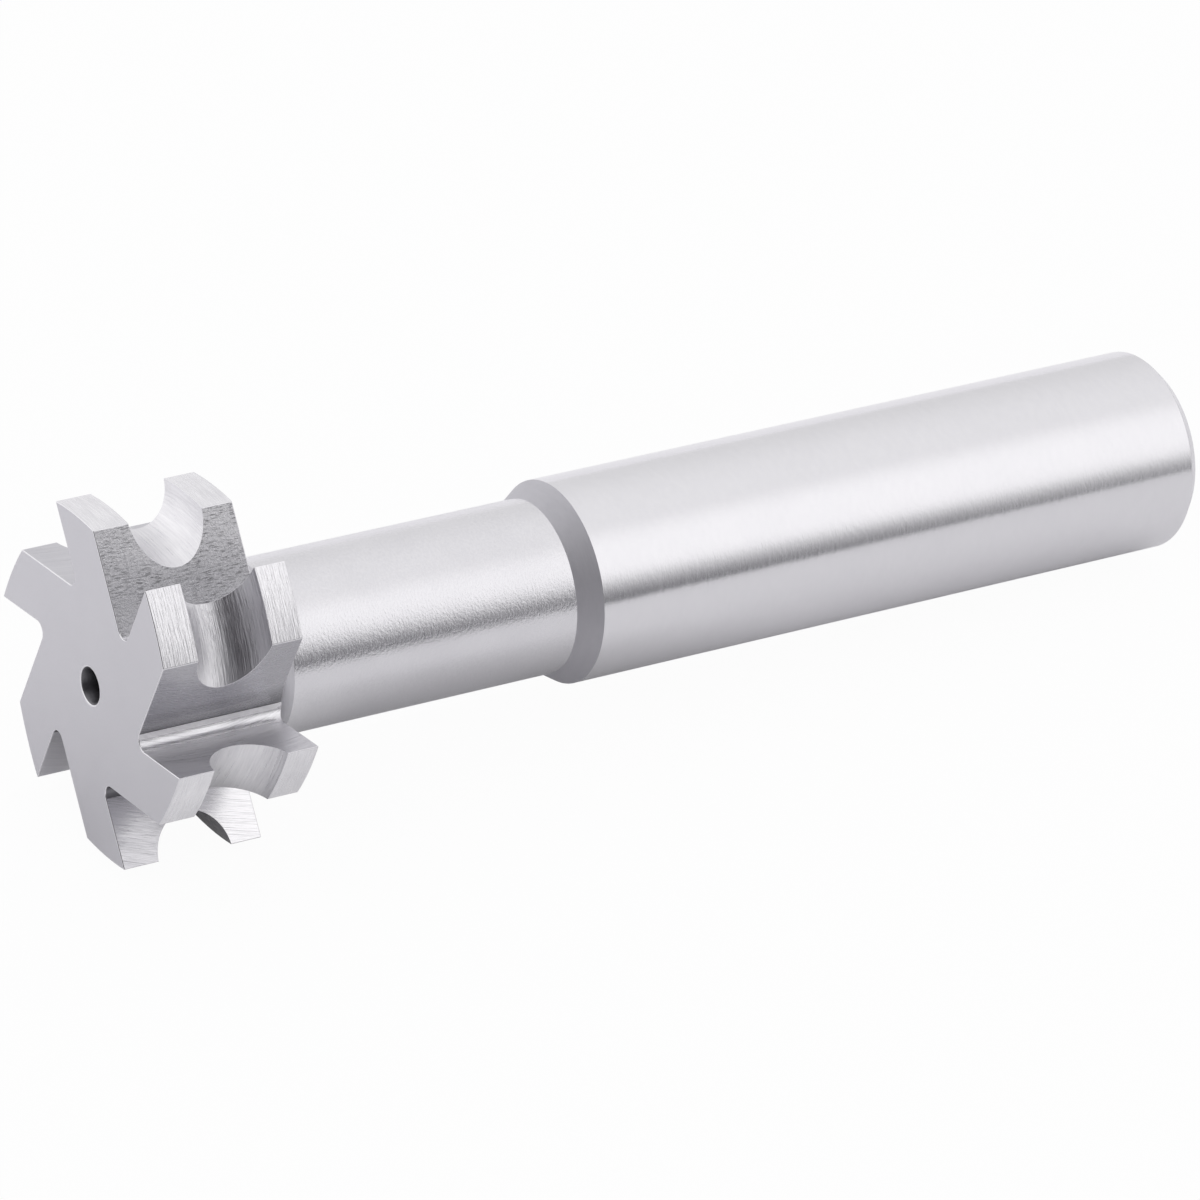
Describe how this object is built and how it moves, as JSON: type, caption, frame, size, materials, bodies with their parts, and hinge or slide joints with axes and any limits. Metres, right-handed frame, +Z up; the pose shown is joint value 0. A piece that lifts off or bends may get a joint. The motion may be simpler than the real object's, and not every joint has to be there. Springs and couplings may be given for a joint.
{
  "type": "concave milling cutter",
  "caption": "Concave milling cutter: a toothed head with a half-round form relieved into every tooth edge, on a slimmer neck and a plain round shank, lying at rest.",
  "frame": {"origin": "centre of the bounding box's base, on the surface that the cutter lies on", "axes": "+X from the head towards the rear end of the shank, level, with the cutter's own axis falling 3.2 degrees towards the shank end; +Z up"},
  "size_m": [0.077, 0.0222, 0.0205],
  "materials": {
    "steel": "fine ground, with a matte front face and milled gullets"
  },
  "bodies": {
    "root": {"concave_cutter": "steel"}
  },
  "joints": []
}
